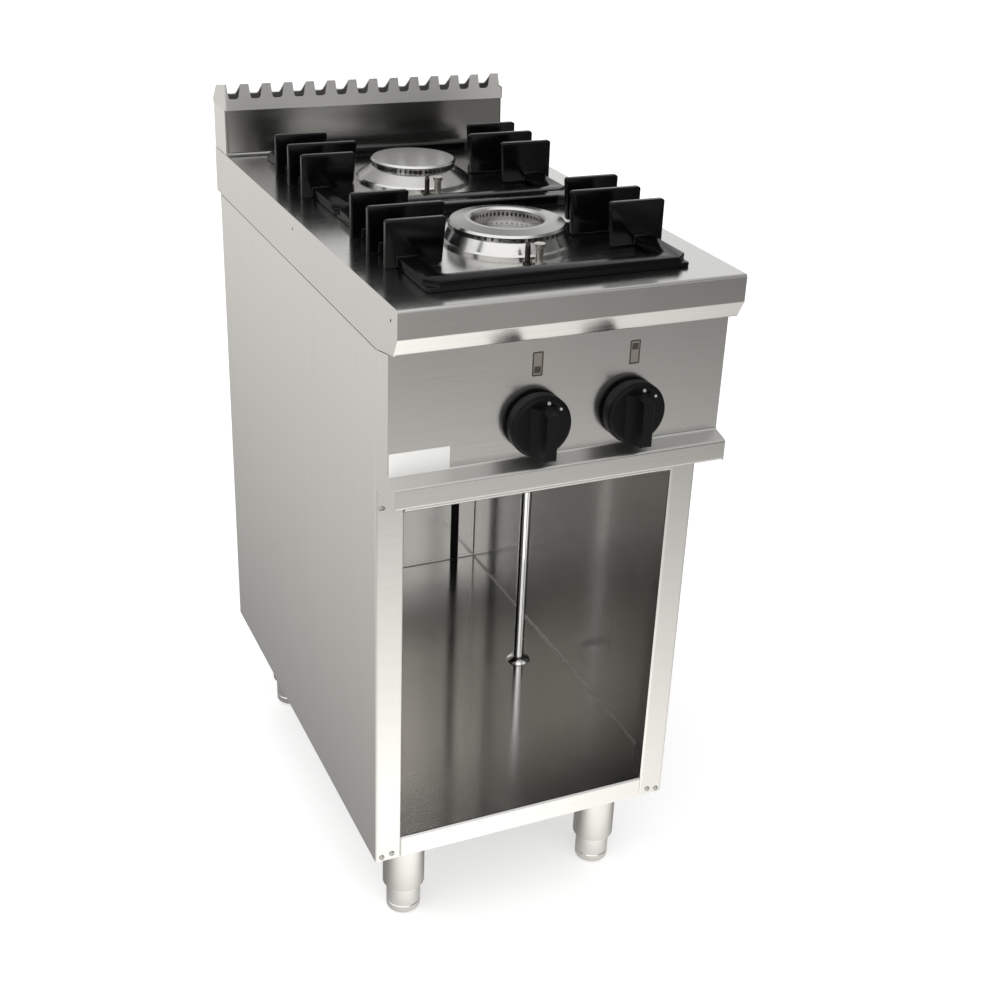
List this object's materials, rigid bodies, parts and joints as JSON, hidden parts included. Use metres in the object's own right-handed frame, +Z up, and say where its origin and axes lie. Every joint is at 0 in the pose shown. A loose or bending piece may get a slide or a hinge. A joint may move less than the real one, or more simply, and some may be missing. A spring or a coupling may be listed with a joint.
{
  "type": "gas range",
  "caption": "Free-standing gas range with ring and disc burners, finned cast pan supports, notched flue and push-and-turn knobs on an open steel base cabinet with adjustable feet.",
  "frame": {"origin": "on the floor, in the middle of the plan", "axes": "+X to the right as seen from the front, +Y to the back, +Z up"},
  "size_m": [0.4, 0.7382, 0.964],
  "materials": {
    "sheet_steel": "fine brushed stainless steel",
    "worktop_steel": "polished stainless steel",
    "flue_steel": "polished stainless steel",
    "inner_steel": "mill-finish stainless steel",
    "leg_steel": "satin stainless steel",
    "chromed_pipe": "bright chrome",
    "burner_alloy": "machined cast alloy",
    "enamelled_iron": "glossy black enamel on cast iron",
    "brass_fittings": "machined",
    "copper_parts": "drawn copper",
    "knob_plastic": "moulded thermoset, satin"
  },
  "bodies": {
    "cabinet": {"left_side_panel": "sheet_steel", "right_side_panel": "sheet_steel", "back_panel": "inner_steel", "cabinet_floor": "inner_steel", "front_base_channel": "inner_steel", "rear_base_channel": "inner_steel", "top_front_rail": "sheet_steel", "rear_top_rail": "inner_steel", "left_worktop_rail": "inner_steel", "right_worktop_rail": "inner_steel", "burner_box_floor": "inner_steel", "worktop": "worktop_steel", "control_panel": "sheet_steel", "flue_box": "flue_steel", "flue_cap": "sheet_steel", "front_burner_body": "burner_alloy", "rear_burner_body": "burner_alloy", "front_injector": "brass_fittings", "rear_injector": "brass_fittings", "front_pilot": "sheet_steel", "rear_pilot": "sheet_steel", "front_thermocouple": "copper_parts", "rear_thermocouple": "copper_parts", "gas_manifold": "inner_steel", "left_gas_valve": "brass_fittings", "right_gas_valve": "brass_fittings", "front_feed_pipe": "copper_parts", "rear_feed_pipe": "copper_parts", "gas_inlet_pipe": "chromed_pipe", "inlet_pipe_flange": "chromed_pipe", "left_bezel": "knob_plastic", "right_bezel": "knob_plastic", "front_left_leg": "leg_steel", "front_right_leg": "leg_steel", "rear_left_leg": "leg_steel", "rear_right_leg": "leg_steel", "cabinet_screws": "sheet_steel"},
    "left_plunger": {"left_push_collar": "sheet_steel"},
    "left_knob": {"left_knob": "knob_plastic", "left_spindle": "sheet_steel"},
    "right_plunger": {"right_push_collar": "sheet_steel"},
    "right_knob": {"right_knob": "knob_plastic", "right_spindle": "sheet_steel"},
    "front_left_foot": {"front_left_foot": "leg_steel"},
    "front_right_foot": {"front_right_foot": "leg_steel"},
    "rear_left_foot": {"rear_left_foot": "leg_steel"},
    "rear_right_foot": {"rear_right_foot": "leg_steel"},
    "front_crown": {"front_burner_crown": "burner_alloy"},
    "rear_cap": {"rear_burner_cap": "burner_alloy"},
    "front_support": {"front_pan_support": "enamelled_iron"},
    "rear_support": {"rear_pan_support": "enamelled_iron"}
  },
  "joints": [
    {"name": "left_knob_push", "type": "slide", "parent": "cabinet", "child": "left_plunger", "axis": [0, 1, 0], "range_m": [0, 0.003], "stiffness_N_per_m": 1500, "springref_m": -0.002},
    {"name": "left_knob_turn", "type": "hinge", "parent": "left_plunger", "child": "left_knob", "pos_m": [-0.032, -0.3389, 0.72], "axis": [0, -1, 0], "range_deg": [0, 180]},
    {"name": "right_knob_push", "type": "slide", "parent": "cabinet", "child": "right_plunger", "axis": [0, 1, 0], "range_m": [0, 0.003], "stiffness_N_per_m": 1500, "springref_m": -0.002},
    {"name": "right_knob_turn", "type": "hinge", "parent": "right_plunger", "child": "right_knob", "pos_m": [0.083, -0.3389, 0.72], "axis": [0, -1, 0], "range_deg": [0, 180]},
    {"name": "front_left_foot_screw", "type": "slide", "parent": "cabinet", "child": "front_left_foot", "axis": [0, 0, -1], "range_m": [0, 0.045]},
    {"name": "front_right_foot_screw", "type": "slide", "parent": "cabinet", "child": "front_right_foot", "axis": [0, 0, -1], "range_m": [0, 0.045]},
    {"name": "rear_left_foot_screw", "type": "slide", "parent": "cabinet", "child": "rear_left_foot", "axis": [0, 0, -1], "range_m": [0, 0.045]},
    {"name": "rear_right_foot_screw", "type": "slide", "parent": "cabinet", "child": "rear_right_foot", "axis": [0, 0, -1], "range_m": [0, 0.045]},
    {"name": "front_crown_lift", "type": "slide", "parent": "cabinet", "child": "front_crown", "axis": [0, 0, 1], "range_m": [0, 0.06]},
    {"name": "rear_cap_lift", "type": "slide", "parent": "cabinet", "child": "rear_cap", "axis": [0, 0, 1], "range_m": [0, 0.06]},
    {"name": "front_support_lift", "type": "slide", "parent": "cabinet", "child": "front_support", "axis": [0, 0, 1], "range_m": [0, 0.1]},
    {"name": "rear_support_lift", "type": "slide", "parent": "cabinet", "child": "rear_support", "axis": [0, 0, 1], "range_m": [0, 0.1]}
  ]
}
